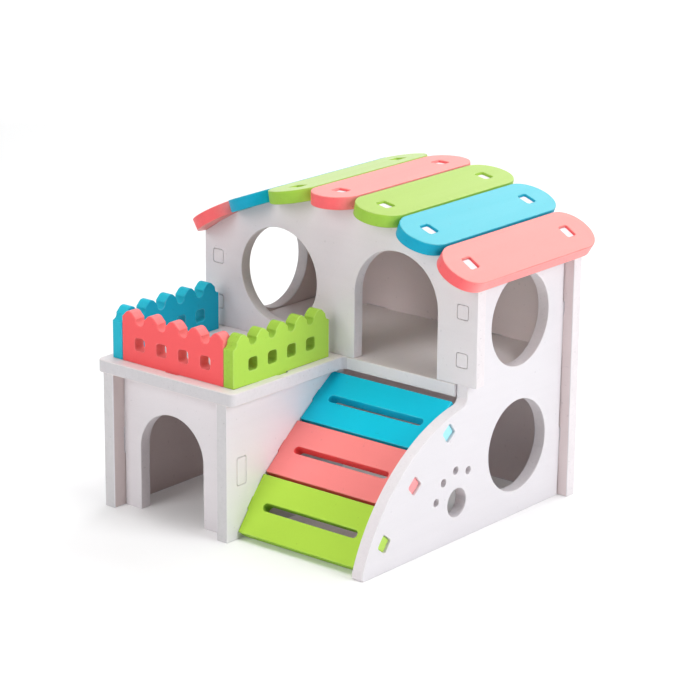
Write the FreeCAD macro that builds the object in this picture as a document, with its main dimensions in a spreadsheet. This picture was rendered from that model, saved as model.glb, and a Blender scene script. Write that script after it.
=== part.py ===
"""Hamster house: painted boards joined by tabs and mortises.

Frame: +Z up, the ground at Z = 0, the front faces -Y, the origin is under the middle
of the house as seen from above.  All lengths are millimetres, all angles degrees.
"""
import FreeCAD, Part
import math
import os
import re

import Sketcher
from FreeCAD import Placement, Rotation, Vector

# ---------------------------------------------------------------- sizes
SIZES = (
    ("board", "8", "thickness of every board"),
    ("house_width", "200", "over the outer faces of the two side walls"),
    ("room_depth", "97.5", "front face of the front wall to inner face of the back wall"),
    ("annex_depth", "100", "front edge of the annex walls to the front wall's face"),
    ("floor_top", "94.5", "height of the upper floor's top face"),
    ("roof_height", "196.7", "height of the top slat's upper face"),
    ("wall_ends", "7", "front and back walls beyond the side walls"),
    ("deck_front", "2", "deck beyond the front edges of the annex walls"),
    ("deck_left", "3.4", "deck beyond the left wall"),
    ("deck_right", "6.5", "deck beyond the right annex wall"),
    ("deck_corner", "4", "radius of the deck's outer corners"),
    ("deck_inner", "3", "radius of the deck's inner corner"),
    ("floor_gap", "0.5", "floor to the side walls' inner faces"),
    ("seat", "0.2", "clearance between boards that meet edge to face"),
    ("rear_gap", "0.5", "open joint between the side walls and the back wall"),
    ("tab_width", "8.7", "width of a short tab"),
    ("tab_long", "17.2", "width of a long tab"),
    ("tab_chamfer", "0.9", "chamfer along the corners of a tab"),
    ("mortise_corner", "1.5", "corner radius of a milled mortise"),
    ("tab_fit", "0.2", "clearance round a tab in its mortise"),
    ("tab_sunk", "1.5", "tab end below the face of a coloured board or a ramp mortise"),
    ("eaves_over", "0.9", "roof seats beyond the ends of the front wall"),
    ("slat_gap", "0.3", "gap between two slats at their undersides"),
    ("slat_tilt", "10.5", "turn from one slat to the next"),
    ("slat_front", "15.3", "slats in front of the front wall"),
    ("slat_back", "16.7", "slats behind the back wall"),
    ("side_window_sill", "1", "upper side windows above the floor"),
    ("side_window_head", "4.8", "upper side windows below the wall's top"),
    ("low_window_sill", "15.6", "lower side window above the ground"),
    ("low_window_head", "12.9", "lower side window below the floor"),
    ("front_window_sill", "10.5", "front window above the floor"),
    ("front_window_head", "16.7", "front window below the roof seats"),
    ("door_jamb", "14.4", "front door to the side wall"),
    ("door_head", "15.4", "front door below the roof seats"),
    ("annex_door_jamb", "16.4", "annex door to the annex walls, on average"),
    ("annex_door_head", "20.7", "annex door below the deck"),
    ("annex_door_shift", "2.9", "annex door's centre left of the middle of the annex"),
    ("annex_recess", "9.5", "annex front panel behind the annex walls' front edges"),
    ("annex_tab_high", "42.3", "height of the annex front panel's tabs"),
    ("front_tab_low", "15.4", "lower tabs in the front wall above the floor"),
    ("front_tab_high", "18.9", "upper tabs in the front wall below the side walls' top"),
    ("back_tab_low", "40.5", "height of the lower tabs in the back wall"),
    ("back_tab_high", "27.2", "upper tabs in the back wall above the floor"),
    ("deck_tab_front", "24", "first annex wall tab from the annex walls' front edge"),
    ("deck_tab_back", "72", "second annex wall tab from the annex walls' front edge"),
    ("cheek_back", "4.5", "ramp cheek's front edge behind the annex walls' front edge"),
    ("cheek_foot", "4.2", "straight part of the cheek's front edge"),
    ("cheek_centre_back", "18.8", "centre of the cheek's curve behind the front wall's face"),
    ("cheek_centre_low", "37", "centre of the cheek's curve below the ground"),
    ("cheek_toe", "2", "radius of the cheek's bottom front corner"),
    ("step_back", "1.2", "cheek's step behind the front wall's face"),
    ("step_corner", "5", "radius where the cheek's curve meets the step"),
    ("ramp_foot_in", "5.1", "lowest ramp board's foot behind the cheek's front edge"),
    ("ramp_foot_high", "5", "height of the lowest ramp board's upper front edge"),
    ("ramp_head_gap", "3", "upper ramp board's end in front of the floor's edge"),
    ("ramp_head_low", "9.9", "upper ramp board's top edge below the floor's top"),
    ("ramp_turn_low", "10.3", "lower ramp board steeper than the ramp as a whole"),
    ("ramp_turn_middle", "1.6", "middle ramp board flatter than the ramp as a whole"),
    ("ramp_turn_high", "5.5", "upper ramp board flatter than the ramp as a whole"),
    ("ramp_gap", "2", "open joint between ramp boards along the slope"),
    ("ramp_drop", "1.2", "next board's edge below the face of the board before it"),
    ("ramp_slot_end", "10", "ramp slot's ends from the walls"),
    ("ramp_slot_width", "5", "width of the slot in a ramp board"),
    ("fence_side", "6", "side fences inside the deck's edges"),
    ("fence_inset", "8", "fences behind the deck's front edge"),
    ("fence_high", "31.8", "height of the pickets above the deck"),
    ("fence_wall_gap", "7", "side fences in front of the front wall"),
    ("fence_fit", "0.8", "clearance of the fence tabs in the deck"),
    ("picket_slope", "45", "slope of the picket heads"),
    ("picket_round", "4", "radius of the picket heads' tops"),
    ("notch_width", "6.6", "milled notch between two pickets"),
    ("notch_low", "24", "height of the notch bottoms above the deck"),
    ("picket_hole", "8", "side of the rounded square holes"),
    ("picket_hole_high", "12.2", "height of the holes' centres above the deck"),
    ("picket_hole_corner", "2", "corner radius of the holes"),
    ("paw_pad", "9", "radius of the paw print's pad"),
    ("paw_toe", "2.5", "radius of the paw print's toes"),
    ("paw_in", "88.4", "paw pad behind the cheek's front edge"),
    ("paw_high", "24.1", "height of the paw pad's centre"),
    ("paw_reach", "20.6", "toes from the pad's centre"),
    ("paw_first_angle", "58.4", "angle of the rearmost toe"),
    ("paw_step_angle", "35.6", "angle from toe to toe"),
)

doc = FreeCAD.newDocument("HamsterHouse")
sheet = doc.addObject("Spreadsheet::Sheet", "Sizes")
for row, (alias, number, meaning) in enumerate(SIZES, start=1):
    sheet.set("A%d" % row, meaning)
    sheet.set("B%d" % row, number)
    sheet.setAlias("B%d" % row, alias)
doc.recompute()

ALIASES = re.compile(r"\b(%s)\b" % "|".join(alias for alias, number, meaning in SIZES))


def bound(formula):
    """Formula of sheet names as a FreeCAD expression."""
    return ALIASES.sub(r"Sizes.\1", formula)


def value(formula):
    """Number that a formula of sheet names gives."""
    return float(sheet.evalExpression(bound(formula)))


# ---------------------------------------------------------------- places
FRONT_EDGE = "(-(deck_front + annex_depth + room_depth + board + slat_back) / 2)"
ANNEX_FRONT = "(%s + deck_front)" % FRONT_EDGE
WALL_FRONT = "(%s + annex_depth)" % ANNEX_FRONT
ROOM_FRONT = "(%s + board)" % WALL_FRONT
ROOM_BACK = "(%s + room_depth)" % WALL_FRONT
BACK_FACE = "(%s + board)" % ROOM_BACK
WINDOW_Y = "((%s + %s) / 2)" % (ROOM_FRONT, ROOM_BACK)

HALF = "(house_width / 2)"
SIDE_IN = "(%s - board)" % HALF
WALL_END = "(%s + wall_ends)" % HALF
PARTITION_X = "(-board / 2)"
ANNEX_MIDDLE = "(-(%s + board) / 2)" % SIDE_IN
DECK_UNDER = "(floor_top - board)"
DECK_LEFT = "(-%s - deck_left)" % HALF
BAY = "(%s / 2)" % SIDE_IN
DECK_RIGHT = "deck_right"
FLOOR_SIDE = "(%s - floor_gap)" % SIDE_IN

# The roof is a ring of flat seats round an axis along Y, one seat for each slat.  The
# ring spans the front wall, and its crown carries the top slat.
SEAT_RADIUS = "((%s + eaves_over) * cos(slat_tilt / 2) / sin(3.5 * slat_tilt))" % WALL_END
SLAT_WIDTH = "(2 * %s * tan(slat_tilt / 2) - slat_gap)" % SEAT_RADIUS
ROOF_AXIS = "(roof_height - board - %s)" % SEAT_RADIUS
EAVES_TILT = "(3 * slat_tilt)"
SIDE_TOP = "(%s + (%s - %s * sin%s) / cos%s - seat)" % (
    ROOF_AXIS, SEAT_RADIUS, HALF, EAVES_TILT, EAVES_TILT)
SLAT_FRONT = "(%s - slat_front)" % WALL_FRONT
SLAT_BACK = "(%s + slat_back)" % BACK_FACE
SLAT_MIDDLE = "((%s + %s) / 2)" % (SLAT_FRONT, SLAT_BACK)
SLAT_LENGTH = "(%s - %s)" % (SLAT_BACK, SLAT_FRONT)

# Openings: each keeps its margins to the floor, the walls and the roof.
SEAT_OVER_BAY = "(%s + sqrt(%s * %s - %s * %s))" % (ROOF_AXIS, SEAT_RADIUS, SEAT_RADIUS, BAY, BAY)
DOOR_HALF = "(%s - door_jamb)" % BAY
DOOR_SPRING = "(%s - door_head - %s)" % (SEAT_OVER_BAY, DOOR_HALF)
FRONT_WINDOW = "((%s - floor_top - front_window_sill - front_window_head) / 2)" % SEAT_OVER_BAY
FRONT_WINDOW_Z = "(floor_top + front_window_sill + %s)" % FRONT_WINDOW
SIDE_WINDOW = "((%s - floor_top - side_window_sill - side_window_head) / 2)" % SIDE_TOP
SIDE_WINDOW_Z = "(floor_top + side_window_sill + %s)" % SIDE_WINDOW
LOW_WINDOW = "((%s - low_window_sill - low_window_head) / 2)" % DECK_UNDER
LOW_WINDOW_Z = "(low_window_sill + %s)" % LOW_WINDOW
ANNEX_DOOR_HALF = "((%s - board) / 2 - annex_door_jamb)" % SIDE_IN
ANNEX_DOOR_SPRING = "(%s - annex_door_head - %s)" % (DECK_UNDER, ANNEX_DOOR_HALF)

# Ramp boards from the lowest up: the upper edge of each foot, and the slope.  The ramp
# as a whole leans from its foot on the cheeks to its head under the door.  Each board
# starts one open joint beyond the end of the one below it.
CHEEK_FRONT = "(%s + cheek_back)" % ANNEX_FRONT
RAMP_GOING = "(%s - ramp_head_gap - %s - ramp_foot_in)" % (WALL_FRONT, CHEEK_FRONT)
RAMP_LEAN = "(atan((floor_top - ramp_head_low - ramp_foot_high) / %s) / 1 deg)" % RAMP_GOING
SLOPE_LOW = "(%s + ramp_turn_low)" % RAMP_LEAN
SLOPE_MIDDLE = "(%s - ramp_turn_middle)" % RAMP_LEAN
SLOPE_HIGH = "(%s - ramp_turn_high)" % RAMP_LEAN
RAMP_RUN = "((%s - ramp_gap * (cos(%s) + cos(%s)) - ramp_drop * (sin(%s) + sin(%s))) / (%s))" % (
    RAMP_GOING,
    SLOPE_LOW,
    SLOPE_MIDDLE,
    SLOPE_LOW,
    SLOPE_MIDDLE,
    "cos(%s) + cos(%s) + cos(%s)" % (SLOPE_LOW, SLOPE_MIDDLE, SLOPE_HIGH),
)
RAMP = []
foot_y = "(%s + ramp_foot_in)" % CHEEK_FRONT
foot_z = "ramp_foot_high"
for slope in (SLOPE_LOW, SLOPE_MIDDLE, SLOPE_HIGH):
    RAMP.append((foot_y, foot_z, slope))
    along = "(%s + ramp_gap)" % RAMP_RUN
    foot_y = "(%s + %s * cos(%s) + ramp_drop * sin(%s))" % (foot_y, along, slope, slope)
    foot_z = "(%s + %s * sin(%s) - ramp_drop * cos(%s))" % (foot_z, along, slope, slope)

FENCE_FRONT = "(%s + fence_inset)" % FRONT_EDGE
FENCE_LEFT = "(%s + fence_side + board / 2)" % DECK_LEFT
FENCE_RIGHT = "(%s - fence_side - board / 2)" % DECK_RIGHT
FENCE_RUN = "(%s - fence_wall_gap - %s)" % (WALL_FRONT, FENCE_FRONT)
FENCE_MIDDLE_X = "((%s + %s) / 2)" % (FENCE_LEFT, FENCE_RIGHT)
FENCE_MIDDLE_Y = "(%s + %s / 2)" % (FENCE_FRONT, FENCE_RUN)
FENCE_SPAN = "(%s - %s - board - 2 * seat)" % (FENCE_RIGHT, FENCE_LEFT)

# Five pickets to a fence.  The side fences end in half notches, the front one beside
# them.
SIDE_PICKET = "(%s / 5)" % FENCE_RUN
FRONT_PICKET = "((%s + notch_width) / 5)" % FENCE_SPAN


# ---------------------------------------------------------------- sketches
def board_body(name):
    """Empty body of one board, named as its file."""
    body = doc.addObject("PartDesign::Body", name)
    body.Label = name
    return body


def sketch_on(body, plane, shift=("0", "0", "0"), turn="0", about=(0, 0, 1)):
    """Sketch on an origin plane, shifted and turned in that plane's own axes."""
    sketch = body.newObject("Sketcher::SketchObject", body.Name + "_sketch")
    support = [item for item in body.Origin.OriginFeatures if item.Role == plane]
    sketch.AttachmentSupport = [(support[0], "")]
    sketch.MapMode = "FlatFace"
    offset = Vector(*[value(item) for item in shift])
    sketch.AttachmentOffset = Placement(offset, Rotation(Vector(*about), value(turn)))
    for axis, item in zip("xyz", shift):
        sketch.setExpression("AttachmentOffset.Base." + axis, bound(item))
    sketch.setExpression("AttachmentOffset.Rotation.Angle", bound(turn))
    return sketch


def dimension(sketch, kind, references, formula):
    """Driving dimension bound to the sheet."""
    index = sketch.addConstraint(Sketcher.Constraint(kind, *references, value(formula)))
    sketch.setExpression("Constraints[%d]" % index, bound(formula))


def place(sketch, geometry, point, x, y):
    """Put one point of a sketch at x, y."""
    dimension(sketch, "DistanceX", (-1, 1, geometry, point), x)
    dimension(sketch, "DistanceY", (-1, 1, geometry, point), y)


def outline(sketch, sides, corners=None, chamfered=False):
    """Closed outline of upright and level sides.

    sides: formulas, by turns the x of an upright side and the y of a level side.
    corners: size formula of the corner after each side, None for a sharp one.
    chamfered: corners are cut at 45 degrees instead of rounded.
    """
    count = len(sides)
    corners = corners or [None] * count
    spots = []
    for index in range(count):
        here = value(sides[index])
        after = value(sides[(index + 1) % count])
        spots.append(Vector(here, after, 0) if index % 2 == 0 else Vector(after, here, 0))
    trims = [0.0 if corner is None else value(corner) for corner in corners]
    lines = []
    for index in range(count):
        start = spots[index - 1]
        end = spots[index]
        way = (end - start).normalize()
        first = start + way * trims[index - 1]
        last = end - way * trims[index]
        lines.append(sketch.addGeometry(Part.LineSegment(first, last), False))
    for index, line in enumerate(lines):
        upright = index % 2 == 0
        sketch.addConstraint(Sketcher.Constraint("Vertical" if upright else "Horizontal", line))
        kind = "DistanceX" if upright else "DistanceY"
        dimension(sketch, kind, (-1, 1, line, 1), sides[index])
    for index, line in enumerate(lines):
        following = lines[(index + 1) % count]
        if corners[index] is None:
            sketch.addConstraint(Sketcher.Constraint("Coincident", line, 2, following, 1))
            continue
        corner = spots[index]
        radius = trims[index]
        back = (spots[index - 1] - corner).normalize()
        ahead = (spots[(index + 1) % count] - corner).normalize()
        if chamfered:
            cut = ahead * radius - back * radius
            way = (corner + back * radius, corner + ahead * radius)
            slant = sketch.addGeometry(Part.LineSegment(*way), False)
            sketch.addConstraint(Sketcher.Constraint("Coincident", line, 2, slant, 1))
            sketch.addConstraint(Sketcher.Constraint("Coincident", slant, 2, following, 1))
            across = "%s(%s)" % ("" if cut.x > 0 else "-", corners[index])
            upward = "%s(%s)" % ("" if cut.y > 0 else "-", corners[index])
            dimension(sketch, "DistanceX", (slant, 1, slant, 2), across)
            dimension(sketch, "DistanceY", (slant, 1, slant, 2), upward)
            continue
        centre = corner + back * radius + ahead * radius
        middle = centre + (corner - centre).normalize() * radius
        bend = Part.Arc(corner + back * radius, middle, corner + ahead * radius)
        arc = sketch.addGeometry(bend, False)
        turning_left = back.cross(ahead).z < 0
        begin = 1 if turning_left else 2
        finish = 3 - begin
        sketch.addConstraint(Sketcher.Constraint("Tangent", line, 2, arc, begin))
        sketch.addConstraint(Sketcher.Constraint("Tangent", arc, finish, following, 1))
        dimension(sketch, "Radius", (arc,), corners[index])


def block(sketch, x, y, width, height, corner, chamfered=False):
    """Rectangle about x, y with rounded or chamfered corners."""
    sides = [
        "(%s + (%s) / 2)" % (x, width),
        "(%s + (%s) / 2)" % (y, height),
        "(%s - (%s) / 2)" % (x, width),
        "(%s - (%s) / 2)" % (y, height),
    ]
    outline(sketch, sides, [corner] * 4, chamfered)


def circle(sketch, x, y, radius):
    """Circle about x, y."""
    centre = Vector(value(x), value(y), 0)
    ring = sketch.addGeometry(Part.Circle(centre, Vector(0, 0, 1), value(radius)), False)
    dimension(sketch, "Radius", (ring,), radius)
    place(sketch, ring, 3, x, y)


def arched(sketch, x, bottom, spring, half):
    """Doorway: two jambs under a half circle."""
    middle = value(x)
    low = value(bottom)
    high = value(spring)
    reach = value(half)
    left_foot = Vector(middle - reach, low, 0)
    right_foot = Vector(middle + reach, low, 0)
    left_spring = Vector(middle - reach, high, 0)
    right_spring = Vector(middle + reach, high, 0)
    crown = Vector(middle, high + reach, 0)
    sill = sketch.addGeometry(Part.LineSegment(left_foot, right_foot), False)
    right = sketch.addGeometry(Part.LineSegment(right_foot, right_spring), False)
    arch = sketch.addGeometry(Part.Arc(right_spring, crown, left_spring), False)
    left = sketch.addGeometry(Part.LineSegment(left_spring, left_foot), False)
    sketch.addConstraint(Sketcher.Constraint("Horizontal", sill))
    sketch.addConstraint(Sketcher.Constraint("Vertical", right))
    sketch.addConstraint(Sketcher.Constraint("Coincident", sill, 2, right, 1))
    sketch.addConstraint(Sketcher.Constraint("Tangent", right, 2, arch, 1))
    sketch.addConstraint(Sketcher.Constraint("Tangent", arch, 2, left, 1))
    sketch.addConstraint(Sketcher.Constraint("Vertical", left))
    sketch.addConstraint(Sketcher.Constraint("Coincident", left, 2, sill, 1))
    dimension(sketch, "Radius", (arch,), half)
    place(sketch, arch, 3, x, spring)
    dimension(sketch, "DistanceY", (-1, 1, sill, 1), bottom)


def stadium(sketch, x, y, length, width, upright):
    """Slot with half-round ends about x, y, long axis upright or level."""
    reach = (value(length) - value(width)) / 2
    radius = value(width) / 2
    long_way = Vector(0, 1, 0) if upright else Vector(1, 0, 0)
    side_way = Vector(-long_way.y, long_way.x, 0)
    middle = Vector(value(x), value(y), 0)
    far = middle + long_way * reach
    near = middle - long_way * reach
    edge = side_way * radius
    tip = long_way * radius
    right = sketch.addGeometry(Part.LineSegment(near - edge, far - edge), False)
    top = sketch.addGeometry(Part.Arc(far - edge, far + tip, far + edge), False)
    left = sketch.addGeometry(Part.LineSegment(far + edge, near + edge), False)
    bottom = sketch.addGeometry(Part.Arc(near + edge, near - tip, near - edge), False)
    sketch.addConstraint(Sketcher.Constraint("Vertical" if upright else "Horizontal", right))
    sketch.addConstraint(Sketcher.Constraint("Tangent", right, 2, top, 1))
    sketch.addConstraint(Sketcher.Constraint("Tangent", top, 2, left, 1))
    sketch.addConstraint(Sketcher.Constraint("Tangent", left, 2, bottom, 1))
    sketch.addConstraint(Sketcher.Constraint("Tangent", bottom, 2, right, 1))
    dimension(sketch, "Radius", (top,), "(%s) / 2" % width)
    half_run = "((%s) - (%s)) / 2" % (length, width)
    if upright:
        place(sketch, top, 3, x, "(%s + %s)" % (y, half_run))
        dimension(sketch, "DistanceY", (-1, 1, bottom, 3), "(%s - %s)" % (y, half_run))
    else:
        place(sketch, top, 3, "(%s + %s)" % (x, half_run), y)
        dimension(sketch, "DistanceX", (-1, 1, bottom, 3), "(%s - %s)" % (x, half_run))


# ---------------------------------------------------------------- features
def pad(body, sketch, length="board", back=False):
    """Pad a sketch along its normal, or against it."""
    feature = body.newObject("PartDesign::Pad", body.Name + "_pad")
    feature.Profile = sketch
    feature.Length = value(length)
    feature.setExpression("Length", bound(length))
    feature.Reversed = back
    body.Tip = feature
    return feature


def pocket(body, sketch):
    """Cut a sketch through the whole body, both ways."""
    feature = body.newObject("PartDesign::Pocket", body.Name + "_pocket")
    feature.Profile = sketch
    feature.Type = "ThroughAll"
    feature.Midplane = True
    body.Tip = feature
    return feature


def polar(body, features, axis, angle, count):
    """Repeat features round an axis."""
    pattern = body.newObject("PartDesign::PolarPattern", body.Name + "_polar")
    pattern.Originals = features
    pattern.Axis = axis
    pattern.Angle = value(angle)
    pattern.setExpression("Angle", bound(angle))
    pattern.Occurrences = count
    body.Tip = pattern
    return pattern


def linear(body, features, axis, length, count):
    """Repeat features along an axis."""
    pattern = body.newObject("PartDesign::LinearPattern", body.Name + "_linear")
    pattern.Originals = features
    pattern.Direction = axis
    pattern.Length = value(length)
    pattern.setExpression("Length", bound(length))
    pattern.Occurrences = count
    body.Tip = pattern
    return pattern


def stand(body, x, y, z, axis, turn):
    """Place a finished board in the house."""
    spot = Vector(value(x), value(y), value(z))
    body.Placement = Placement(spot, Rotation(Vector(*axis), value(turn)))
    body.setExpression("Placement.Base.x", bound(x))
    body.setExpression("Placement.Base.y", bound(y))
    body.setExpression("Placement.Base.z", bound(z))
    body.setExpression("Placement.Rotation.Angle", bound(turn))


def mortise(sketch, x, y, width, height, milled=True, fit="tab_fit"):
    """Mortise round a tab of that width and height: round corners where it is milled."""
    corner = "mortise_corner" if milled else "tab_chamfer"
    block(sketch, x, y, "%s + 2 * %s" % (width, fit), "%s + 2 * %s" % (height, fit),
          corner, not milled)


def tab_block(body, plane, level, spots, width, height, length, back):
    """Tabs of one cross-section that leave the plane at a level, rooted one board deep."""
    shift = ("0", "0", "(%s)" % level)
    sketch = sketch_on(body, plane, shift)
    for x, y in spots:
        block(sketch, x, y, width, height, "tab_chamfer", True)
    return pad(body, sketch, length, back)


# ---------------------------------------------------------------- front and back walls
LEVEL_OUT = "(-(%s))"


def roof_seats(body, wall_front):
    """Flat seats along the top of a wall, and the tabs that hold the slats."""
    ring = sketch_on(body, "XZ_Plane", ("0", ROOF_AXIS, LEVEL_OUT % wall_front),
                     "-%s" % EAVES_TILT)
    outline(ring, ["house_width", "(%s + house_width)" % SEAT_RADIUS, "-house_width", SEAT_RADIUS])
    cut = pocket(body, ring)
    polar(body, [cut], (ring, ["N_Axis"]), "6 * slat_tilt", 7)
    root = "(%s - board / 4)" % SEAT_RADIUS
    peg = sketch_on(body, "XY_Plane", (
        "(%s * sin%s)" % (root, EAVES_TILT),
        "(%s + board / 2)" % wall_front,
        "(%s + %s * cos%s)" % (ROOF_AXIS, root, EAVES_TILT),
    ), EAVES_TILT, (0, 1, 0))
    block(peg, "0", "0", "tab_width", "board", "tab_chamfer", True)
    root_tab = pad(body, peg, "board / 4 + board - tab_sunk")
    return polar(body, [root_tab], (ring, ["N_Axis"]), "6 * slat_tilt", 7)


front_wall = board_body("front_wall")
face = sketch_on(front_wall, "XZ_Plane", ("0", "0", LEVEL_OUT % WALL_FRONT))
outline(face, [WALL_END, "roof_height", "-%s" % WALL_END, "floor_top"])
pad(front_wall, face, "board", True)
holes = sketch_on(front_wall, "XZ_Plane")
circle(holes, "-%s" % BAY, FRONT_WINDOW_Z, FRONT_WINDOW)
arched(holes, BAY, "(floor_top - board)", DOOR_SPRING, DOOR_HALF)
FRONT_TABS = ("(floor_top + front_tab_low)", "(%s - front_tab_high)" % SIDE_TOP)
for side in ("-", ""):
    for height in FRONT_TABS:
        mortise(holes, "%s(%s - board / 2)" % (side, HALF), height, "board", "tab_width")
pocket(front_wall, holes)
roof_seats(front_wall, WALL_FRONT)

back_wall = board_body("back_wall")
face = sketch_on(back_wall, "XZ_Plane", ("0", "0", LEVEL_OUT % ROOM_BACK))
outline(face, [WALL_END, "roof_height", "-%s" % WALL_END, "0"])
pad(back_wall, face, "board", True)
holes = sketch_on(back_wall, "XZ_Plane")
BACK_TABS = ("back_tab_low", "(floor_top + back_tab_high)")
for side in ("-", ""):
    for height in BACK_TABS:
        mortise(holes, "%s(%s - board / 2)" % (side, HALF), height, "board", "tab_width", False)
    mortise(holes, "%s%s" % (side, BAY), "(floor_top - board / 2)", "tab_long", "board", False)
pocket(back_wall, holes)
roof_seats(back_wall, ROOM_BACK)

# ---------------------------------------------------------------- side walls
# The ramp side wall: wall and curved cheek are one board.
right_wall = board_body("right_side_wall")
face = sketch_on(right_wall, "YZ_Plane", ("0", "0", SIDE_IN))
outline(face, [
    CHEEK_FRONT, "floor_top", "(%s + seat)" % ROOM_FRONT, SIDE_TOP, "(%s - rear_gap)" % ROOM_BACK, "0",
], [None, None, None, None, None, "cheek_toe"])
pad(right_wall, face)

# What is cut away above the cheek: its curve, and a small bend up into the step.
curve = sketch_on(right_wall, "YZ_Plane")
CURVE_Y = "(%s + cheek_centre_back)" % WALL_FRONT
STEP_Y = "(%s + step_back)" % WALL_FRONT
foot = Vector(value(CHEEK_FRONT), value("cheek_foot"), 0)
centre = Vector(value(CURVE_Y), -value("cheek_centre_low"), 0)
radius = foot.distanceToPoint(centre)
bend = value("step_corner")
bend_y = value(STEP_Y) - bend
bend_z = centre.y + math.sqrt((radius + bend) ** 2 - (bend_y - centre.x) ** 2)
bend_centre = Vector(bend_y, bend_z, 0)
outward = (bend_centre - centre).normalize()
head = centre + outward * radius
step = bend_centre + Vector(bend, 0, 0)
crest = centre + ((foot - centre).normalize() + outward).normalize() * radius
turn = bend_centre + (Vector(1, 0, 0) - outward).normalize() * bend
lid_z = value("(floor_top + board)")
before = value("(%s - board)" % CHEEK_FRONT)
arc = curve.addGeometry(Part.Arc(foot, crest, head), False)
corner = curve.addGeometry(Part.Arc(head, turn, step), False)
path = [step, Vector(step.x, lid_z, 0), Vector(before, lid_z, 0), Vector(before, foot.y, 0), foot]
sides = [curve.addGeometry(Part.LineSegment(*ends), False) for ends in zip(path, path[1:])]
for side, way in zip(sides, ("Vertical", "Horizontal", "Vertical", "Horizontal")):
    curve.addConstraint(Sketcher.Constraint(way, side))
for side, following in zip(sides, sides[1:]):
    curve.addConstraint(Sketcher.Constraint("Coincident", side, 2, following, 1))
curve.addConstraint(Sketcher.Constraint("Coincident", arc, 2, sides[3], 2))
curve.addConstraint(Sketcher.Constraint("Tangent", arc, 1, corner, 1))
curve.addConstraint(Sketcher.Constraint("Tangent", corner, 2, sides[0], 1))
dimension(curve, "Radius", (corner,), "step_corner")
place(curve, arc, 3, CURVE_Y, "-cheek_centre_low")
place(curve, sides[3], 2, CHEEK_FRONT, "cheek_foot")
dimension(curve, "DistanceX", (-1, 1, sides[0], 1), STEP_Y)
dimension(curve, "DistanceY", (-1, 1, sides[1], 1), "(floor_top + board)")
dimension(curve, "DistanceX", (-1, 1, sides[2], 1), "(%s - board)" % CHEEK_FRONT)
pocket(right_wall, curve)

holes = sketch_on(right_wall, "YZ_Plane")
circle(holes, WINDOW_Y, SIDE_WINDOW_Z, SIDE_WINDOW)
circle(holes, WINDOW_Y, LOW_WINDOW_Z, LOW_WINDOW)
paw_y = "(%s + paw_in)" % CHEEK_FRONT
circle(holes, paw_y, "paw_high", "paw_pad")
for toe in range(4):
    angle = "(paw_first_angle + %d * paw_step_angle)" % toe
    circle(holes, "(%s + paw_reach * cos%s)" % (paw_y, angle),
           "(paw_high + paw_reach * sin%s)" % angle, "paw_toe")
pocket(right_wall, holes)


def ramp_mortises(body, milled):
    """Mortises of the ramp boards' tabs, each turned to its board's slope."""
    for y, z, slope in RAMP:
        sketch = sketch_on(body, "YZ_Plane", (
            "(%s + %s / 2 * cos(%s) + board / 2 * sin(%s))" % (y, RAMP_RUN, slope, slope),
            "(%s + %s / 2 * sin(%s) - board / 2 * cos(%s))" % (z, RAMP_RUN, slope, slope),
            "0",
        ), slope)
        mortise(sketch, "0", "0", "tab_width", "board", milled)
        pocket(body, sketch)


def wall_tabs(body, x):
    """Tabs of a side wall through the front wall and the back wall."""
    tab_block(body, "XZ_Plane", LEVEL_OUT % WALL_FRONT,
              [(x, height) for height in FRONT_TABS],
              "board", "tab_width", "2 * board", True)
    tab_block(body, "XZ_Plane", LEVEL_OUT % BACK_FACE,
              [(x, height) for height in BACK_TABS],
              "board", "tab_width", "2 * board", False)


ramp_mortises(right_wall, True)
wall_tabs(right_wall, "(%s - board / 2)" % HALF)

left_wall = board_body("left_side_wall")
face = sketch_on(left_wall, "YZ_Plane", ("0", "0", "-%s" % HALF))
outline(face, [
    ANNEX_FRONT, DECK_UNDER, WALL_FRONT, "floor_top", "(%s + seat)" % ROOM_FRONT,
    SIDE_TOP, "(%s - rear_gap)" % ROOM_BACK, "0",
])
pad(left_wall, face)
holes = sketch_on(left_wall, "YZ_Plane")
circle(holes, WINDOW_Y, SIDE_WINDOW_Z, SIDE_WINDOW)
panel_y = "(%s + annex_recess + board / 2)" % ANNEX_FRONT
mortise(holes, panel_y, "annex_tab_high", "board", "tab_long", False)
pocket(left_wall, holes)
wall_tabs(left_wall, "(board / 2 - %s)" % HALF)


# ---------------------------------------------------------------- annex walls
DECK_TABS = ["(%s + deck_tab_front)" % ANNEX_FRONT, "(%s + deck_tab_back)" % ANNEX_FRONT]


def deck_tabs(body, x):
    """Tabs of an annex wall up into the deck."""
    tab_block(body, "XY_Plane", "(%s - board)" % DECK_UNDER,
              [(x, y) for y in DECK_TABS], "board", "tab_width", "2 * board", False)


deck_tabs(left_wall, "(board / 2 - %s)" % HALF)

partition = board_body("annex_right_wall")
face = sketch_on(partition, "YZ_Plane", ("0", "0", "-board"))
outline(face, [ANNEX_FRONT, DECK_UNDER, ROOM_FRONT, "0"])
pad(partition, face)
holes = sketch_on(partition, "YZ_Plane")
mortise(holes, panel_y, "annex_tab_high", "board", "tab_long")
pocket(partition, holes)
ramp_mortises(partition, False)
deck_tabs(partition, PARTITION_X)

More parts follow.
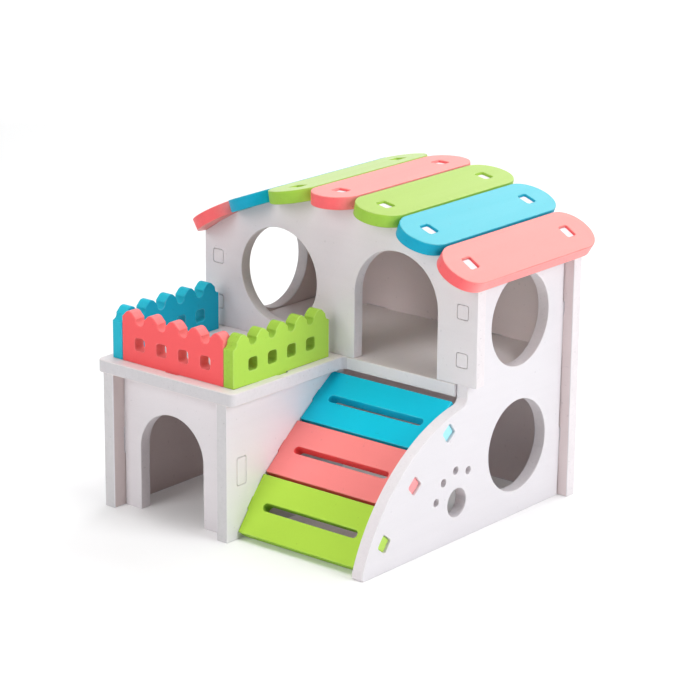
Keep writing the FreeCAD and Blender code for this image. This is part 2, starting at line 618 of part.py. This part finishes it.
annex_front = board_body("annex_front_wall")
PANEL_FRONT = "(%s + annex_recess)" % ANNEX_FRONT
face = sketch_on(annex_front, "XZ_Plane", ("0", "0", LEVEL_OUT % PANEL_FRONT))
outline(face, ["(-board - seat)", DECK_UNDER, "(seat - %s)" % SIDE_IN, "0"])
pad(annex_front, face, "board", True)
door = sketch_on(annex_front, "XZ_Plane")
arched(door, "(%s - annex_door_shift)" % ANNEX_MIDDLE, "-board", ANNEX_DOOR_SPRING, ANNEX_DOOR_HALF)
pocket(annex_front, door)
PANEL_Y = "(%s + board / 2)" % PANEL_FRONT
tab_block(annex_front, "YZ_Plane", "(-2 * board)", [(PANEL_Y, "annex_tab_high")],
          "board", "tab_long", "2 * board", False)
tab_block(annex_front, "YZ_Plane", "(-%s)" % HALF, [(PANEL_Y, "annex_tab_high")],
          "board", "tab_long", "2 * board", False)

# ---------------------------------------------------------------- floor and terrace
deck = board_body("floor_deck")
plan = sketch_on(deck, "XY_Plane", ("0", "0", DECK_UNDER))
outline(plan, [
    DECK_LEFT, FRONT_EDGE, DECK_RIGHT, WALL_FRONT, FLOOR_SIDE, "(%s - seat)" % ROOM_BACK,
    "-%s" % FLOOR_SIDE, "(%s - seat)" % WALL_FRONT,
], ["deck_corner", "deck_corner", "deck_inner", None, None, None, None, "deck_corner"])
pad(deck, plan)
slots = sketch_on(deck, "XY_Plane")
for y in DECK_TABS:
    mortise(slots, PARTITION_X, y, "board", "tab_width", False)
    mortise(slots, "(board / 2 - %s)" % HALF, y, "board", "tab_width", False)
mortise(slots, FENCE_LEFT, FENCE_MIDDLE_Y, "board", "tab_width", False, "fence_fit")
mortise(slots, FENCE_RIGHT, FENCE_MIDDLE_Y, "board", "tab_width", False, "fence_fit")
front_fence_y = "(%s + board / 2)" % FENCE_FRONT
mortise(slots, FENCE_MIDDLE_X, front_fence_y, "tab_width", "board", False, "fence_fit")
pocket(deck, slots)
tab_block(deck, "XZ_Plane", LEVEL_OUT % BACK_FACE,
          [("-%s" % BAY, "(floor_top - board / 2)"), (BAY, "(floor_top - board / 2)")],
          "tab_long", "board", "2 * board", False)


# ---------------------------------------------------------------- fences
def fence(name, length, picket, notches, x, y, turn):
    """Five round-headed pickets milled from one board, a tab under the middle.

    notches: four part the pickets; six also leave half a notch at each end.
    """
    body = board_body(name)
    above = "(fence_high + board)"
    panel = sketch_on(body, "XZ_Plane", ("0", "0", "board / 2"))
    outline(panel, ["(%s) / 2" % length, above, "-(%s) / 2" % length, "0"])
    pad(body, panel, "board", True)

    # What is cut away above one head: its rounded top and the two slopes beside it.
    crown = sketch_on(body, "XZ_Plane", ("-2 * %s" % picket, "0", "0"))
    point = "(fence_high + picket_round * (1 / cos(picket_slope) - 1))"
    valley = "(%s - %s / 2 * tan(picket_slope))" % (point, picket)
    half = value(picket) / 2
    lean = math.radians(value("picket_slope"))
    top = Vector(0, value("fence_high"), 0)
    hub = Vector(0, value("fence_high - picket_round"), 0)
    right_touch = hub + Vector(math.sin(lean), math.cos(lean), 0) * value("picket_round")
    left_touch = Vector(-right_touch.x, right_touch.y, 0)
    corners = [
        right_touch,
        Vector(half, value(valley), 0),
        Vector(half, value(above), 0),
        Vector(-half, value(above), 0),
        Vector(-half, value(valley), 0),
        left_touch,
    ]
    lines = [crown.addGeometry(Part.LineSegment(*ends), False) for ends in zip(corners, corners[1:])]
    head = crown.addGeometry(Part.Arc(right_touch, top, left_touch), False)
    for line, following in zip(lines, lines[1:]):
        crown.addConstraint(Sketcher.Constraint("Coincident", line, 2, following, 1))
    crown.addConstraint(Sketcher.Constraint("Tangent", head, 1, lines[0], 1))
    crown.addConstraint(Sketcher.Constraint("Tangent", lines[4], 2, head, 2))
    crown.addConstraint(Sketcher.Constraint("Vertical", lines[1]))
    crown.addConstraint(Sketcher.Constraint("Horizontal", lines[2]))
    crown.addConstraint(Sketcher.Constraint("Vertical", lines[3]))
    dimension(crown, "Radius", (head,), "picket_round")
    place(crown, head, 3, "0", "(fence_high - picket_round)")
    place(crown, lines[0], 2, "%s / 2" % picket, valley)
    place(crown, lines[3], 2, "-%s / 2" % picket, valley)
    dimension(crown, "DistanceY", (-1, 1, lines[2], 1), above)
    shaped = pocket(body, crown)
    linear(body, [shaped], (crown, ["H_Axis"]), "4 * %s" % picket, 5)

    notch = sketch_on(body, "XZ_Plane", ("(1 - %d) / 2 * %s" % (notches, picket), "0", "0"))
    stadium(notch, "0", "(notch_low + fence_high / 2)", "fence_high", "notch_width", True)
    gap = pocket(body, notch)
    linear(body, [gap], (notch, ["H_Axis"]), "%d * %s" % (notches - 1, picket), notches)

    light = sketch_on(body, "XZ_Plane", ("-1.5 * %s" % picket, "0", "0"))
    block(light, "0", "picket_hole_high", "picket_hole", "picket_hole", "picket_hole_corner")
    hole = pocket(body, light)
    linear(body, [hole], (light, ["H_Axis"]), "3 * %s" % picket, 4)

    tab_block(body, "XY_Plane", "-board", [("0", "0")], "tab_width", "board", "2 * board", False)
    stand(body, x, y, "floor_top", (0, 0, 1), turn)
    return body


fence_left = fence("fence_left", FENCE_RUN, SIDE_PICKET, 6, FENCE_LEFT, FENCE_MIDDLE_Y, "-90")
fence_right = fence("fence_right", FENCE_RUN, SIDE_PICKET, 6, FENCE_RIGHT, FENCE_MIDDLE_Y, "90")
fence_front = fence("fence_front", FENCE_SPAN, FRONT_PICKET, 4, FENCE_MIDDLE_X, front_fence_y, "0")


# ---------------------------------------------------------------- ramp
def ramp_board(name, y, z, slope):
    """Slotted board between the two ramp walls, a tab at each end."""
    body = board_body(name)
    half_span = "(%s - seat)" % BAY
    tread = sketch_on(body, "XY_Plane")
    outline(tread, [half_span, RAMP_RUN, "-%s" % half_span, "0"])
    pad(body, tread, "board", True)
    slot = sketch_on(body, "XY_Plane")
    stadium(slot, "0", "%s / 2" % RAMP_RUN, "%s - 2 * ramp_slot_end" % SIDE_IN, "ramp_slot_width", False)
    pocket(body, slot)
    tip = "(%s + board - tab_sunk)" % BAY
    for end, back in (("-%s" % tip, False), (tip, True)):
        tab_block(body, "YZ_Plane", end, [("%s / 2" % RAMP_RUN, "-board / 2")],
                  "tab_width", "board", "2 * board", back)
    stand(body, BAY, y, z, (1, 0, 0), slope)
    return body


ramp_names = ("ramp_board_lower", "ramp_board_middle", "ramp_board_upper")
ramp_boards = [ramp_board(name, *spot) for name, spot in zip(ramp_names, RAMP)]


# ---------------------------------------------------------------- roof
def slat(name, number):
    """Roof slat with half-round ends; number counts from the crown, to the right."""
    body = board_body(name)
    shape = sketch_on(body, "XY_Plane")
    stadium(shape, "0", "0", SLAT_LENGTH, SLAT_WIDTH, True)
    pad(body, shape)
    slots = sketch_on(body, "XY_Plane")
    for wall in (WALL_FRONT, ROOM_BACK):
        mortise(slots, "0", "(%s + board / 2 - %s)" % (wall, SLAT_MIDDLE), "tab_width", "board", False)
    pocket(body, slots)
    tilt = "(%d * slat_tilt)" % number
    stand(body, "(%s * sin%s)" % (SEAT_RADIUS, tilt), SLAT_MIDDLE,
          "(%s + %s * cos%s)" % (ROOF_AXIS, SEAT_RADIUS, tilt), (0, 1, 0), tilt)
    return body


slats = [slat("roof_slat_%d" % (number + 4), number) for number in range(-3, 4)]

# ---------------------------------------------------------------- check and write
doc.recompute()
boards = [front_wall, back_wall, right_wall, left_wall, partition, annex_front, deck]
boards += [fence_left, fence_front, fence_right]
boards += ramp_boards + slats

for item in doc.Objects:
    if "Invalid" in item.State or "Error" in item.State:
        raise RuntimeError("%s failed: %s" % (item.Name, item.State))
for body in boards:
    if body.Shape.isNull() or not body.Shape.isValid() or len(body.Shape.Solids) != 1:
        raise RuntimeError("%s is not one valid solid" % body.Label)

os.makedirs("parts", exist_ok=True)
for body in boards:
    body.Shape.exportStep("parts/%s.step" % body.Label)
    box = body.Shape.BoundBox
    print("%-18s %9.1f mm3  x %.1f..%.1f  y %.1f..%.1f  z %.1f..%.1f" % (
        body.Label, body.Shape.Volume, box.XMin, box.XMax, box.YMin, box.YMax, box.ZMin, box.ZMax))
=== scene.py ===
"""Looks of the hamster house: satin-painted boards with eased corners and sanded cut
edges, on a pale floor under soft studio lights. Light and shade are painted into the
paint's tones too: each board has its own lit or shaded copy of its paint, cut edges are
lighter or darker by which way they face, the sides inside the house are painted darker
and warmer, and the ends of the ramp's tabs carry a painted highlight."""

import math

import bpy
from mathutils import Matrix, Vector


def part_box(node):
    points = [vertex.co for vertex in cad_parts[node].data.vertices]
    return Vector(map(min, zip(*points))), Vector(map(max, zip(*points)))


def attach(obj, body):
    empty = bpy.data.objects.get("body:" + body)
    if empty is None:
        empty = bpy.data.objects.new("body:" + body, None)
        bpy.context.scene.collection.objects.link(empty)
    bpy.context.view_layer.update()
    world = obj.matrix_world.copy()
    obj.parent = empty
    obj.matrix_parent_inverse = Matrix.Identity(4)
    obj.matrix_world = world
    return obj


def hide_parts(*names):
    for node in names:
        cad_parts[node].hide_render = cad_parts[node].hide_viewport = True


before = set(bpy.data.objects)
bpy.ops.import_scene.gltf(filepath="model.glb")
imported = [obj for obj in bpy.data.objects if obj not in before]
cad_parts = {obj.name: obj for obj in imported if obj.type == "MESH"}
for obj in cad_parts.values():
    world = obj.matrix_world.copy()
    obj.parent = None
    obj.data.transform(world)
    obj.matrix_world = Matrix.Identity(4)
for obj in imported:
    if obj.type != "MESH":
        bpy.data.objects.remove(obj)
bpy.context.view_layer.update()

# Boards, in metres and degrees.
WELD = 0.00001          # loose triangles closer than this share a corner
FLAT = 0.5              # faces that turn less than this are one flat face
SHARP = 50              # an edge that turns more than this gets rounded
SMOOTH = 48             # an edge that turns less than this is shaded round
CORNER_EASE = 0.0005    # sandpaper run once along every sharp corner of a board
FLUSH = 0.0025          # a tab's end this near a wall's outer side shows in it

# How far a side has to look one way to count, as the cosine of the turn.
SAME_WAY = 0.98         # a tab's end, against the wall that it shows in
INNER_WAY = 0.9         # the side turned into the house
FACE_LIE = 0.985        # a broad face of the board
EDGE_LIE = 0.25         # less than this is a cut edge, more is an eased corner

# All the paint is one satin kind.
SATIN = {"Specular IOR Level": 0.12, "Coat Roughness": 0.42, "Coat IOR": 1.33}

# Patterns in the paint, as repeats per metre.
LAPS_ALONG, LAPS_ACROSS = 9, 150
DRIFT = 16.0
STIPPLE = 950.0
PINHOLES = 430.0
FIBRE = 320.0
EDGE_DRIFT = 45.0
PITS = 620.0
WEAR = 75.0
CRUMBS = 900.0


# ---------------------------------------------------------------- paint shop
def wire(tree, kind, **values):
    """A new node with its named inputs set."""
    node = tree.nodes.new(kind)
    for name, value in values.items():
        node.inputs[name.replace("_", " ")].default_value = value
    return node


def noise(tree, where, scale, detail, roughness=0.5, distortion=0.0):
    node = wire(tree, "ShaderNodeTexNoise", Scale=scale, Detail=detail,
                Roughness=roughness, Distortion=distortion)
    tree.links.new(where, node.inputs["Vector"])
    return node.outputs["Fac"]


def spread(tree, value, seen, gives):
    """Stretch the part of a pattern inside one range over another."""
    node = wire(tree, "ShaderNodeMapRange", From_Min=seen[0], From_Max=seen[1],
                To_Min=gives[0], To_Max=gives[1])
    tree.links.new(value, node.inputs["Value"])
    return node.outputs["Result"]


def combine(tree, how, *values):
    """One sum of patterns and plain numbers."""
    node = tree.nodes.new("ShaderNodeMath")
    node.operation = how
    for socket, value in zip(node.inputs, values):
        if isinstance(value, float):
            socket.default_value = value
        else:
            tree.links.new(value, socket)
    return node.outputs["Value"]


def blend_tones(tree, first, second, share):
    """Two tones of paint, mixed by a pattern; either may be a colour already made."""
    node = tree.nodes.new("ShaderNodeMix")
    node.data_type = "RGBA"
    for name, tone in (("A", first), ("B", second)):
        if isinstance(tone, tuple):
            node.inputs[name].default_value = (*tone, 1)
        else:
            tree.links.new(tone, node.inputs[name])
    tree.links.new(share, node.inputs["Factor"])
    return node.outputs["Result"]


def shade(tone, share):
    return tuple(channel * share for channel in tone)


def toward(tone, other, share):
    return tuple(a + (b - a) * share for a, b in zip(tone, other))


def new_finish(name, coat):
    """An empty satin paint: its material, node tree, shader and place on the board."""
    material = bpy.data.materials.new(name)
    material.use_nodes = True
    tree = material.node_tree
    shader = tree.nodes["Principled BSDF"]
    shader.inputs["Coat Weight"].default_value = coat
    for socket, value in SATIN.items():
        shader.inputs[socket].default_value = value
    place = tree.nodes.new("ShaderNodeTexCoord").outputs["Object"]
    return material, tree, shader, place


def press(tree, shader, height, strength, depth):
    """Relief of the paint, pressed into the surface."""
    bump = wire(tree, "ShaderNodeBump", Strength=strength, Distance=depth)
    tree.links.new(height, bump.inputs["Height"])
    tree.links.new(bump.outputs["Normal"], shader.inputs["Normal"])


def rolled_paint(name, tone, along, coat):
    """Broad face: paint rolled along the board, with its stipple, its faint laps and a
    few pinholes."""
    material, tree, shader, place = new_finish(name, coat)
    rolling = tuple(LAPS_ALONG if axis == along else LAPS_ACROSS for axis in "xyz")
    stretch = wire(tree, "ShaderNodeMapping", Scale=rolling)
    tree.links.new(place, stretch.inputs["Vector"])
    laps = noise(tree, stretch.outputs["Vector"], scale=1.0, detail=4.0, roughness=0.55,
                 distortion=0.3)
    drift = noise(tree, place, DRIFT, detail=3.0)
    stipple = noise(tree, place, STIPPLE, detail=2.0, roughness=0.6)
    pinholes = spread(tree, noise(tree, place, PINHOLES, detail=0.0),
                      (0.80, 0.85), (0.0, 0.35))

    uneven = combine(tree, "ADD", spread(tree, laps, (0.35, 0.70), (0.0, 0.35)),
                     spread(tree, drift, (0.35, 0.65), (0.0, 0.35)))
    uneven = combine(tree, "ADD", uneven,
                     spread(tree, stipple, (0.35, 0.70), (0.0, 0.30)))
    colour = blend_tones(tree, shade(tone, 1.015), shade(tone, 0.965), uneven)
    colour = blend_tones(tree, colour, shade(tone, 0.75), pinholes)
    tree.links.new(colour, shader.inputs["Base Color"])
    gloss = combine(tree, "ADD", spread(tree, laps, (0.3, 0.7), (0.44, 0.52)),
                    spread(tree, stipple, (0.3, 0.7), (0.0, 0.08)))
    tree.links.new(gloss, shader.inputs["Roughness"])
    relief = combine(tree, "ADD", stipple, combine(tree, "MULTIPLY", laps, 0.8))
    relief = combine(tree, "SUBTRACT", relief, pinholes)
    press(tree, shader, relief, strength=0.16, depth=0.00025)
    return material


def sealed_edge(name, front_back_lit_tone, sideways_lit_tone, coat):
    """Cut edge: thirsty fibre that drinks the paint, rougher and pitted. Its tone holds
    painted light and shade by which way the cut faces: one tone where the cut looks to
    the front or back and one elsewhere, and they melt into each other round a curve."""
    material, tree, shader, place = new_finish(name, coat)
    facing = tree.nodes.new("ShaderNodeSeparateXYZ")
    tree.links.new(place.node.outputs["Normal"], facing.inputs["Vector"])
    # Painted light and shade: this share picks the cut edge's lit or shaded tone by which
    # way it faces.
    turned = combine(tree, "ABSOLUTE", facing.outputs["Y"])
    turned = spread(tree, turned, (0.15, 0.85), (1.0, 0.0))
    fibre = noise(tree, place, FIBRE, detail=5.0, roughness=0.7, distortion=0.6)
    drift = noise(tree, place, EDGE_DRIFT, detail=3.0)
    pits = spread(tree, noise(tree, place, PITS, detail=1.0), (0.69, 0.77), (0.0, 0.40))

    uneven = combine(tree, "ADD", spread(tree, fibre, (0.35, 0.68), (0.0, 0.7)),
                     spread(tree, drift, (0.35, 0.65), (0.0, 0.3)))
    light = blend_tones(tree, shade(front_back_lit_tone, 1.03), shade(sideways_lit_tone, 1.03), turned)
    deep = blend_tones(tree, shade(front_back_lit_tone, 0.95), shade(sideways_lit_tone, 0.95), turned)
    colour = blend_tones(tree, light, deep, uneven)
    colour = blend_tones(tree, colour, shade(front_back_lit_tone, 0.65), pits)
    tree.links.new(colour, shader.inputs["Base Color"])
    tree.links.new(spread(tree, fibre, (0.3, 0.7), (0.56, 0.74)),
                   shader.inputs["Roughness"])
    press(tree, shader, combine(tree, "SUBTRACT", fibre, pits),
          strength=0.35, depth=0.0004)
    return material


def rubbed_corner(name, tone, bare, coat):
    """Eased corner: the paint is thin there and the pale board shows in patches."""
    material, tree, shader, place = new_finish(name, coat)
    wear = noise(tree, place, WEAR, detail=4.0, roughness=0.6)
    crumbs = noise(tree, place, CRUMBS, detail=2.0, roughness=0.6)
    thin = combine(tree, "ADD", spread(tree, wear, (0.42, 0.70), (0.0, 0.8)),
                   spread(tree, crumbs, (0.4, 0.7), (0.0, 0.3)))
    tree.links.new(blend_tones(tree, tone, bare, thin), shader.inputs["Base Color"])
    tree.links.new(spread(tree, wear, (0.3, 0.7), (0.40, 0.62)),
                   shader.inputs["Roughness"])
    press(tree, shader, crumbs, strength=0.2, depth=0.0002)
    return material


# Each board's paint, with light and shade painted into it: one paint gets a lighter or
# darker copy for each board, as light and sheen fall on that board, and its cut edges get
# a lit and a shaded tone by which way they face. Columns: way of the rolling, weight of
# the clear coat, tone of the broad faces, of the cut edges that look to the front or
# back, and of the other cut edges.
SHADED_PAINTS = {
    "wall_white": ("x", 0.5, (0.775, 0.737, 0.762),
                   (0.670, 0.645, 0.660), (0.785, 0.735, 0.755)),
    "side_white": ("y", 0.5, (0.830, 0.805, 0.850),
                   (0.650, 0.632, 0.645), (0.720, 0.690, 0.705)),
    "right_white": ("y", 0.5, (0.745, 0.720, 0.750),
                    (0.820, 0.765, 0.790), (0.820, 0.785, 0.815)),
    "deck_white": ("y", 0.5, (0.800, 0.735, 0.735),
                   (0.635, 0.613, 0.633), (0.775, 0.740, 0.775)),
    "roof_coral": ("y", 1.0, (0.850, 0.230, 0.208),
                   (0.930, 0.140, 0.150), (0.930, 0.310, 0.300)),
    "roof_blue": ("y", 1.0, (0.000, 0.412, 0.512),
                  (0.000, 0.375, 0.565), (0.000, 0.400, 0.590)),
    "roof_green": ("y", 1.0, (0.330, 0.508, 0.048),
                   (0.320, 0.560, 0.060), (0.430, 0.690, 0.090)),
    "fence_coral": ("x", 0.4, (0.960, 0.115, 0.122),
                    (0.950, 0.225, 0.225), (0.950, 0.225, 0.225)),
    "fence_blue": ("y", 0.4, (0.000, 0.400, 0.620),
                   (0.020, 0.485, 0.630), (0.020, 0.485, 0.630)),
    "fence_green": ("y", 0.4, (0.460, 0.735, 0.090),
                    (0.370, 0.600, 0.070), (0.370, 0.600, 0.070)),
    "ramp_coral": ("x", 0.3, (0.955, 0.252, 0.244),
                   (0.950, 0.135, 0.135), (0.950, 0.120, 0.120)),
    "ramp_blue": ("x", 0.3, (0.000, 0.540, 0.730),
                  (0.000, 0.600, 0.800), (0.000, 0.420, 0.600)),
    "ramp_green": ("x", 0.3, (0.455, 0.716, 0.065),
                   (0.330, 0.570, 0.050), (0.330, 0.570, 0.050)),
}
BARE_BOARD = (0.780, 0.730, 0.690)
BARE_IN_WHITE, BARE_IN_COLOUR = 0.30, 0.12    # share of bare board at a rubbed corner
EDGE_IN_CORNER = 0.3                          # share of the cut edge's tone there
EDGE_COAT = 0.5                               # share of the clear coat on a cut edge

# The ends of the ramp's tabs are painted pale: a painted highlight where they face the
# right-hand lamp.
LIT_TAB_ENDS = {
    "ramp_coral": (0.930, 0.370, 0.380),
    "ramp_blue": (0.400, 0.800, 0.860),
    "ramp_green": (0.500, 0.740, 0.130),
}
LIT_TAB_COAT = 0.1

# The sides turned into the house are painted a darker, warmer white, darker still on the
# annex's side walls: painted shade where little light gets in.
INSIDE_SHADE = (0.815, 0.705, 0.703)
INSIDE_SHADES = {"side_white": (0.700, 0.600, 0.590)}
INSIDE_COAT = 0.2

finish = {}
# Each paint is built from its board's lit or shaded tones: painted light and shade.
for shaded_paint, (along, coat, face, front_back_lit_tone, sideways_lit_tone) in SHADED_PAINTS.items():
    white = "white" in shaded_paint
    bare = BARE_IN_WHITE if white else BARE_IN_COLOUR
    finish[shaded_paint] = {
        "face": rolled_paint(shaded_paint + "_face", face, along, coat),
        "cut edge": sealed_edge(shaded_paint + "_cut_edge", front_back_lit_tone, sideways_lit_tone,
                                coat * EDGE_COAT),
        "corner": rubbed_corner(shaded_paint + "_corner", toward(face, front_back_lit_tone, EDGE_IN_CORNER),
                                toward(face, BARE_BOARD, bare), coat),
    }
    # Painted highlight: pale ends on the ramp's tabs.
    if shaded_paint in LIT_TAB_ENDS:
        finish[shaded_paint]["tab end"] = sealed_edge(
            shaded_paint + "_tab_end", LIT_TAB_ENDS[shaded_paint], LIT_TAB_ENDS[shaded_paint], LIT_TAB_COAT)
    # Painted shade: a darker, warmer white on the sides turned into the house.
    if white:
        finish[shaded_paint]["inside"] = rolled_paint(
            shaded_paint + "_inside", INSIDE_SHADES.get(shaded_paint, INSIDE_SHADE), along, INSIDE_COAT)

# ---------------------------------------------------------------- boards
# Each board: its paint, with light and shade painted in, and the way that its side turned
# into the house looks.
BOARDS = {
    "front_wall": ("wall_white", (0, 1, 0)),
    "back_wall": ("wall_white", (0, -1, 0)),
    "right_side_wall": ("right_white", (-1, 0, 0)),
    "left_side_wall": ("side_white", (1, 0, 0)),
    "annex_right_wall": ("side_white", (-1, 0, 0)),
    "annex_front_wall": ("wall_white", (0, 1, 0)),
    "floor_deck": ("deck_white", (0, 0, -1)),
    "fence_left": ("fence_blue", None),
    "fence_front": ("fence_coral", None),
    "fence_right": ("fence_green", None),
    "ramp_board_upper": ("ramp_blue", None),
    "ramp_board_middle": ("ramp_coral", None),
    "ramp_board_lower": ("ramp_green", None),
}
SLAT_COLOURS = "coral blue green coral green blue coral".split()    # left to right
for number, colour in enumerate(SLAT_COLOURS, start=1):
    BOARDS["roof_slat_%d" % number] = ("roof_" + colour, None)

# Outer sides of the walls, where the ends of other boards' tabs show.
SHOW_SIDES = []
for node, way in (("front_wall", (0, -1, 0)), ("back_wall", (0, 1, 0)),
                  ("right_side_wall", (1, 0, 0)), ("left_side_wall", (-1, 0, 0)),
                  ("annex_right_wall", (1, 0, 0)), ("annex_front_wall", (0, -1, 0))):
    low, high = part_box(node)
    out = Vector(way)
    SHOW_SIDES.append((node, out, max(out.dot(Vector(low)), out.dot(Vector(high)))))


def tab_coat(side, node):
    """The wall whose outer side a cut end lies flush with, or None."""
    for wall, out, reach in SHOW_SIDES:
        if wall != node and side.normal.dot(out) > SAME_WAY \
                and abs(side.center.dot(out) - reach) < FLUSH:
            return wall
    return None


def ease_corners(board):
    """Join the board's loose triangles, clear its flat faces and round every corner."""
    bpy.ops.object.mode_set(mode="EDIT")
    bpy.ops.mesh.select_mode(type="EDGE")
    bpy.ops.mesh.select_all(action="SELECT")
    bpy.ops.mesh.remove_doubles(threshold=WELD)
    bpy.ops.mesh.dissolve_limited(angle_limit=math.radians(FLAT))
    bpy.ops.mesh.select_all(action="DESELECT")
    bpy.ops.mesh.edges_select_sharp(sharpness=math.radians(SHARP))
    bpy.ops.mesh.bevel(offset=CORNER_EASE, segments=2, affect="EDGES")
    bpy.ops.object.mode_set(mode="OBJECT")
    bpy.ops.object.shade_smooth_by_angle(angle=math.radians(SMOOTH))
    bpy.ops.object.modifier_add(type="WEIGHTED_NORMAL")
    flat = board.modifiers[-1]
    flat.weight = 100    # the broad faces lead, the small ones follow
    flat.keep_sharp = True
    bpy.ops.object.modifier_apply(modifier=flat.name)


def lay_paint(board, node, coats, inner):
    """Rolled paint on the two broad sides, sealer on the cut edges, thin paint on the
    corners between. A ramp tab's end takes its pale painted highlight. On a white board a
    tab's end takes the paint of the wall it shows in, and the side that looks the inner
    way takes the darker, warmer white of painted shade."""
    order = []
    broad = max(board.data.polygons, key=lambda side: side.area).normal.copy()
    for side in board.data.polygons:
        lie = abs(side.normal.dot(broad))
        wall = tab_coat(side, node) if lie < EDGE_LIE else None
        if lie > FACE_LIE:
            inside = inner and side.normal.dot(Vector(inner)) > INNER_WAY
            coat = coats["inside" if inside else "face"]
        elif lie > EDGE_LIE:
            coat = coats["corner"]
        elif wall and "tab end" in coats:
            coat = coats["tab end"]
        elif wall and inner:
            coat = finish[BOARDS[wall][0]]["face"]
        else:
            coat = coats["cut edge"]
        if coat not in order:
            order.append(coat)
            board.data.materials.append(coat)
        side.material_index = order.index(coat)


for node, (shaded_paint, inner) in BOARDS.items():
    bpy.ops.object.select_all(action="DESELECT")
    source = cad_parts[node]
    source.select_set(True)
    bpy.context.view_layer.objects.active = source
    bpy.ops.object.duplicate()
    board = bpy.context.object
    board.name = node + "_painted"
    board.data.materials.clear()
    ease_corners(board)
    lay_paint(board, node, finish[shaded_paint], inner)
    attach(board, "root")
    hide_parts(node)

# ---------------------------------------------------------------- floor
FLOOR_SIZE = 16
FLOOR_TONE = (0.9, 0.9, 0.9, 1)
FLOOR_ROUGHNESS = 0.7
GLOW_REACH = (1.1, 2.5)       # distances from the house between which the glow grows
GLOW = (0.07, 1.0)            # its strength near the house and far from it

bpy.ops.object.select_all(action="DESELECT")
bpy.ops.mesh.primitive_plane_add(size=FLOOR_SIZE, location=(0, 0, 0))
ground = bpy.context.object
ground.name = "ground"
pale = bpy.data.materials.new("pale_floor")
pale.use_nodes = True
sheet = pale.node_tree.nodes["Principled BSDF"]
sheet.inputs["Base Color"].default_value = FLOOR_TONE
sheet.inputs["Roughness"].default_value = FLOOR_ROUGHNESS
sheet.inputs["Emission Color"].default_value = (1, 1, 1, 1)
# Far from the house the floor glows a little more, so that it stays as pale out there.
stand = pale.node_tree.nodes.new("ShaderNodeTexCoord").outputs["Object"]
away = pale.node_tree.nodes.new("ShaderNodeVectorMath")
away.operation = "LENGTH"
pale.node_tree.links.new(stand, away.inputs[0])
glow = spread(pale.node_tree, away.outputs["Value"], GLOW_REACH, GLOW)
pale.node_tree.links.new(glow, sheet.inputs["Emission Strength"])
ground.data.materials.append(pale)

# ---------------------------------------------------------------- lights
sky = bpy.data.worlds.new("studio")
sky.use_nodes = True
sky.node_tree.nodes["Background"].inputs["Color"].default_value = (1, 1, 1, 1)
sky.node_tree.nodes["Background"].inputs["Strength"].default_value = 1.0
bpy.context.scene.world = sky
# The pale surround is only seen: the lamps and the floor alone light the house.
sky.cycles_visibility.diffuse = False
sky.cycles_visibility.glossy = False

HOUSE_MIDDLE = Vector((0, 0, 0.1))


def lamp(name, place, size, power, tint=(1, 1, 1)):
    """Square soft light that looks at the middle of the house."""
    data = bpy.data.lights.new(name, "AREA")
    data.shape = "SQUARE"
    data.size = size
    data.energy = power
    data.color = tint
    source = bpy.data.objects.new(name, data)
    source.location = place
    way = HOUSE_MIDDLE - Vector(place)
    source.rotation_euler = way.to_track_quat("-Z", "Y").to_euler()
    source.visible_camera = False
    bpy.context.collection.objects.link(source)


lamp("top_light", (0.15, -0.15, 1.3), size=0.9, power=8.4)
lamp("right_light", (1.5, 0.2, 0.8), size=1.0, power=17.2, tint=(0.98, 0.99, 1.0))
lamp("front_light", (-0.3, -1.6, 0.9), size=1.0, power=13.3)
lamp("back_light", (-1.35, 1.75, 0.75), size=1.6, power=12.4)
lamp("back_high", (0.0, 1.6, 1.6), size=1.6, power=30.0)
lamp("left_light", (-1.6, -0.3, 1.0), size=1.2, power=5.0)

# ---------------------------------------------------------------- camera
SENSOR = 36              # millimetres
LENS = 139.10
SEES_TO = 20             # metres
STANDS_AT = (1.00388, -1.22510, 0.58465)
TURN = Matrix((
    (0.77267, -0.19410, 0.60441),
    (0.63475, 0.22302, -0.73983),
    (0.00880, 0.95529, 0.29553),
))

view = bpy.data.cameras.new("camera")
view.sensor_width = SENSOR
view.lens = LENS
view.clip_end = SEES_TO
camera = bpy.data.objects.new("camera", view)
camera.matrix_world = Matrix.Translation(STANDS_AT) @ TURN.to_4x4()
bpy.context.collection.objects.link(camera)
bpy.context.scene.camera = camera
bpy.context.scene.view_settings.view_transform = "Standard"
